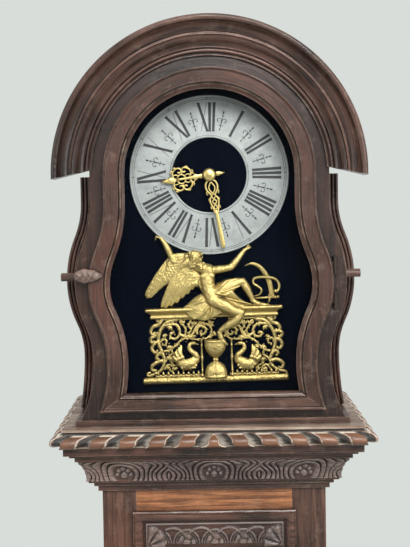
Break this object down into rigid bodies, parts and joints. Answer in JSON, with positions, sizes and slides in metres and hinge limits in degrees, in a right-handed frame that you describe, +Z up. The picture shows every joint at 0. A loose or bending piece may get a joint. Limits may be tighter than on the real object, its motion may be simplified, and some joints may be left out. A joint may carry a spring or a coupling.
{
  "type": "longcase clock",
  "caption": "Tall wooden longcase clock with an arched, waisted glazed hood, carved cornice, trunk door and plinth; silvered dial ring over a gilt figure, with hands, weight and pendulum.",
  "frame": {"origin": "on the floor under the middle of the whole clock's box", "axes": "+Z up, the dial looks along -Y, +X to the right seen from the front"},
  "size_m": [0.532, 0.307, 2.202],
  "materials": {
    "walnut": "old polish, dark",
    "door_wood": "old polish, reddish",
    "inner_wood": "plain, unpolished",
    "glass": "clear",
    "velvet": "dark velvet",
    "silvered": "silvered, engraved",
    "gilt": "gilt",
    "iron": "dull",
    "brass": "satin",
    "steel": "satin",
    "line": "gut line"
  },
  "bodies": {
    "case": {"back_board": "inner_wood", "back_cock": "brass", "chapter_ring": "silvered", "cornice_cove": "walnut", "cornice_steps": "walnut", "dial_board": "velvet", "gadroon_moulding": "walnut", "gilt_base": "gilt", "gilt_fret": "gilt", "gilt_hourglass": "gilt", "gilt_shelf": "gilt", "gilt_swans": "gilt", "movement_plates": "brass", "movement_posts": "brass", "plinth_cap_moulding": "walnut", "plinth_front": "walnut", "plinth_sides": "walnut", "plinth_skirting": "walnut", "plinth_top": "walnut", "scythe": "gilt", "seat_board": "inner_wood", "seat_cheeks": "inner_wood", "shelf_board": "walnut", "time_figure": "gilt", "trunk_hinges": "iron", "trunk_rails": "walnut", "trunk_sides": "walnut", "trunk_stiles": "walnut", "weight_line": "line"},
    "hood": {"hood_base": "walnut", "hood_crown": "walnut", "hood_front_board": "walnut", "hood_hinges": "iron", "hood_pegs": "walnut", "hood_roof": "walnut", "hood_sides": "walnut", "hood_wings": "walnut"},
    "hood_door": {"hood_door_frame": "door_wood", "hood_door_glass": "glass", "hood_door_hinge_eyes": "iron", "hood_door_rail": "door_wood"},
    "hood_latch": {"hood_latch_leaf": "walnut"},
    "trunk_door": {"trunk_door_hinge_eyes": "iron", "trunk_door_knob": "brass", "trunk_door_moulding": "door_wood", "trunk_door_panel": "walnut"},
    "minute_arbor": {"centre_wheel": "brass", "cannon_pinion": "brass", "minute_hand": "gilt"},
    "hour_pipe": {"hour_wheel": "brass", "hour_hand": "gilt"},
    "minute_wheel": {"minute_wheel": "brass"},
    "great_wheel": {"great_wheel": "brass"},
    "third_wheel": {"third_wheel": "brass"},
    "escape_wheel": {"escape_wheel": "brass"},
    "pendulum": {"pendulum_rod": "steel", "pendulum_bob": "brass"},
    "anchor": {"anchor": "steel"},
    "weight": {"weight": "brass"},
    "drum": {"line_drum": "brass"}
  },
  "joints": [
    {"name": "hood_slide", "type": "slide", "parent": "case", "child": "hood", "axis": [0, -1, 0], "range_m": [0, 0.3]},
    {"name": "hood_door_swing", "type": "hinge", "parent": "hood", "child": "hood_door", "pos_m": [0.203, -0.1125, 1.77], "axis": [0, 0, 1], "range_deg": [0, 100]},
    {"name": "hood_latch_turn", "type": "hinge", "parent": "hood_door", "child": "hood_latch", "pos_m": [-0.1854, -0.13, 1.788], "axis": [0, 1, 0], "range_deg": [0, 90]},
    {"name": "trunk_door_swing", "type": "hinge", "parent": "case", "child": "trunk_door", "pos_m": [0.142, -0.0805, 0.891], "axis": [0, 0, 1], "range_deg": [0, 110]},
    {"name": "minute_hand_turn", "type": "hinge", "parent": "case", "child": "minute_arbor", "pos_m": [0, 0.0155, 1.95], "axis": [0, 1, 0], "continuous": true},
    {"name": "hour_hand_turn", "type": "hinge", "parent": "case", "child": "hour_pipe", "pos_m": [0, -0.05, 1.95], "axis": [0, 1, 0], "continuous": true},
    {"name": "minute_wheel_turn", "type": "hinge", "parent": "case", "child": "minute_wheel", "pos_m": [0.0288, -0.032, 1.95], "axis": [0, 1, 0], "continuous": true},
    {"name": "great_wheel_turn", "type": "hinge", "parent": "case", "child": "great_wheel", "pos_m": [0, 0.0155, 1.895], "axis": [0, 1, 0], "continuous": true},
    {"name": "third_wheel_turn", "type": "hinge", "parent": "case", "child": "third_wheel", "pos_m": [0, 0.0155, 1.982], "axis": [0, 1, 0], "continuous": true},
    {"name": "escape_wheel_turn", "type": "hinge", "parent": "case", "child": "escape_wheel", "pos_m": [0, 0.0155, 2.01], "axis": [0, 1, 0], "continuous": true},
    {"name": "pendulum_swing", "type": "hinge", "parent": "case", "child": "pendulum", "pos_m": [0, 0.0805, 2.036], "axis": [0, 1, 0], "range_deg": [-3, 3]},
    {"name": "anchor_rock", "type": "hinge", "parent": "case", "child": "anchor", "pos_m": [0, 0.03, 2.036], "axis": [0, 1, 0], "range_deg": [-3, 3]},
    {"name": "weight_wind", "type": "slide", "parent": "case", "child": "weight", "axis": [0, 0, 1], "range_m": [0, 0.44], "deforming": ["weight_line"]},
    {"name": "drum_turn", "type": "hinge", "parent": "case", "child": "drum", "pos_m": [0, 0.0115, 1.895], "axis": [0, 1, 0], "continuous": true}
  ],
  "couplings": [
    {"joint": "hour_hand_turn", "follows": "minute_hand_turn", "ratio": 0.083333},
    {"joint": "minute_wheel_turn", "follows": "minute_hand_turn", "ratio": -0.33333},
    {"joint": "great_wheel_turn", "follows": "minute_hand_turn", "ratio": -0.083333},
    {"joint": "third_wheel_turn", "follows": "minute_hand_turn", "ratio": -8},
    {"joint": "escape_wheel_turn", "follows": "minute_hand_turn", "ratio": 60},
    {"joint": "anchor_rock", "follows": "pendulum_swing", "ratio": 1},
    {"joint": "drum_turn", "follows": "weight_wind", "rad_per_m": -35.714}
  ]
}
